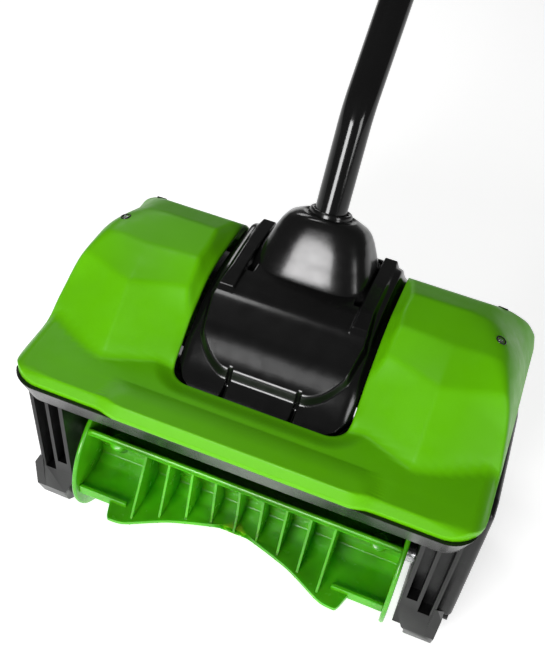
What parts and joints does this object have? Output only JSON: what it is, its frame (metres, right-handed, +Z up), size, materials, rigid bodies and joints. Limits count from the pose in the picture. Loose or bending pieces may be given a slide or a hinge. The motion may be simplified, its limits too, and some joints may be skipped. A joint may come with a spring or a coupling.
{
  "type": "cordless snow shovel",
  "caption": "Long-handled battery snow shovel: wide head with a spinning ribbed rotor under a hood, bent tube shaft, loop grip and trigger handle with battery.",
  "frame": {"origin": "on the ground, at the middle of the whole machine's bounding box, 344.6 mm behind the rotor's axis", "axes": "+X to the right seen from the front, along the rotor's axis; -Y forwards, into the snow; +Z up"},
  "size_m": [0.372, 0.8412, 0.9691],
  "materials": {
    "lip_black": "fine moulded texture, satin",
    "frame_grey": "fine moulded texture, matte",
    "hood_green": "fine moulded texture, satin",
    "cover_black": "polished",
    "rotor_green": "polished, slightly translucent",
    "tube_black": "gloss powder coat",
    "scraper_black": "worn satin",
    "screw_steel": "zinc plated",
    "shaft_steel": "ground",
    "bearing_steel": "ground",
    "can_steel": "satin zinc",
    "magnet_grey": "matte ferrite",
    "winding_copper": "lacquered",
    "fan_grey": "smooth",
    "mount_aluminium": "as cast",
    "pulley_aluminium": "turned",
    "pulley_black": "glass filled, matte",
    "belt_rubber": "matte",
    "coupler_black": "fine texture",
    "knob_black": "fine texture",
    "wire_black": "smooth",
    "grip_rubber": "ribbed, matte",
    "handle_green": "fine moulded texture, satin",
    "trigger_black": "smooth",
    "board_green": "solder mask",
    "terminal_black": "smooth",
    "battery_black": "fine texture",
    "battery_grey": "fine texture",
    "cell_wrap": "shrink wrap"
  },
  "bodies": {
    "head_and_shaft": {"auger_housing": "lip_black", "left_side_frame": "frame_grey", "right_side_frame": "frame_grey", "belt_cover": "frame_grey", "belt_cover_screws": "screw_steel", "left_end_plate": "frame_grey", "left_end_plate_screws": "screw_steel", "top_hood": "hood_green", "hood_screws": "screw_steel", "motor_cover": "cover_black", "tube_boot": "cover_black", "rear_cover": "lip_black", "scraper_bar": "scraper_black", "motor_mount": "mount_aluminium", "motor_straps": "can_steel", "motor_can": "can_steel", "motor_magnets": "magnet_grey", "motor_bearings": "bearing_steel", "drive_belt": "belt_rubber", "left_rotor_bearing": "bearing_steel", "right_rotor_bearing": "bearing_steel", "tube_socket": "mount_aluminium", "tube_screws": "screw_steel", "lower_tube": "tube_black", "shaft_coupler": "coupler_black", "upper_tube": "tube_black", "wiring": "wire_black", "aux_clamp_upper": "coupler_black", "aux_clamp_lower": "coupler_black", "aux_clamp_screws": "screw_steel", "aux_bolt": "shaft_steel", "handle_shell_left": "handle_green", "handle_shell_right": "handle_green", "handle_screws": "screw_steel", "grip_pad": "grip_rubber", "trigger_pin": "shaft_steel", "trigger_spring": "shaft_steel", "lock_spring": "shaft_steel", "trigger_switch": "terminal_black", "control_board": "board_green", "terminal_block": "terminal_black"},
    "rotor": {"rotor_moulding": "rotor_green", "rotor_axle": "shaft_steel", "rotor_pulley": "pulley_black", "axle_spacers": "shaft_steel", "axle_nuts": "screw_steel"},
    "motor_rotor": {"motor_shaft": "shaft_steel", "motor_armature": "winding_copper", "motor_fan": "fan_grey", "motor_pulley": "pulley_aluminium"},
    "coupler_knob": {"coupler_knob": "knob_black"},
    "front_handle": {"aux_loop": "tube_black", "aux_grip": "grip_rubber"},
    "front_handle_knob": {"aux_knob": "knob_black"},
    "trigger": {"trigger": "trigger_black"},
    "lock_button": {"lock_button": "trigger_black"},
    "battery": {"battery_case_upper": "battery_black", "battery_case_lower": "battery_grey", "battery_cells": "cell_wrap"},
    "battery_latch": {"battery_latch": "trigger_black"}
  },
  "joints": [
    {"name": "rotor_spin", "type": "hinge", "parent": "head_and_shaft", "child": "rotor", "pos_m": [-0.003, -0.34464, 0.076], "axis": [1, 0, 0], "continuous": true},
    {"name": "motor_spin", "type": "hinge", "parent": "head_and_shaft", "child": "motor_rotor", "pos_m": [-0.003, -0.25464, 0.182], "axis": [1, 0, 0], "continuous": true},
    {"name": "coupler_knob_turn", "type": "hinge", "parent": "head_and_shaft", "child": "coupler_knob", "pos_m": [-0.003, -0.09559, 0.51938], "axis": [0, -0.7071, 0.7071], "range_deg": [0, 720]},
    {"name": "front_handle_tilt", "type": "hinge", "parent": "head_and_shaft", "child": "front_handle", "pos_m": [-0.003, 0.00765, 0.6311], "axis": [1, 0, 0], "range_deg": [-30, 30]},
    {"name": "front_handle_knob_turn", "type": "hinge", "parent": "head_and_shaft", "child": "front_handle_knob", "pos_m": [-0.003, 0.00765, 0.6311], "axis": [1, 0, 0], "range_deg": [0, 720]},
    {"name": "trigger_pull", "type": "hinge", "parent": "head_and_shaft", "child": "trigger", "pos_m": [-0.003, 0.22615, 0.78879], "axis": [1, 0, 0], "range_deg": [0, 7.5], "stiffness_Nm_per_rad": 0.6, "springref_deg": -5.73, "deforming": ["trigger_spring"]},
    {"name": "lock_button_press", "type": "slide", "parent": "head_and_shaft", "child": "lock_button", "axis": [0, 0.7071, -0.7071], "range_m": [0, 0.003], "stiffness_N_per_m": 300, "springref_m": -0.001, "deforming": ["lock_spring"]},
    {"name": "battery_slide", "type": "slide", "parent": "head_and_shaft", "child": "battery", "axis": [0, 0.7071, 0.7071], "range_m": [0, 0.075]},
    {"name": "battery_latch_press", "type": "slide", "parent": "battery", "child": "battery_latch", "axis": [0, 0.7071, -0.7071], "range_m": [0, 0.003], "stiffness_N_per_m": 300, "springref_m": -0.001}
  ],
  "couplings": [
    {"joint": "motor_spin", "follows": "rotor_spin", "ratio": 3.2941}
  ]
}
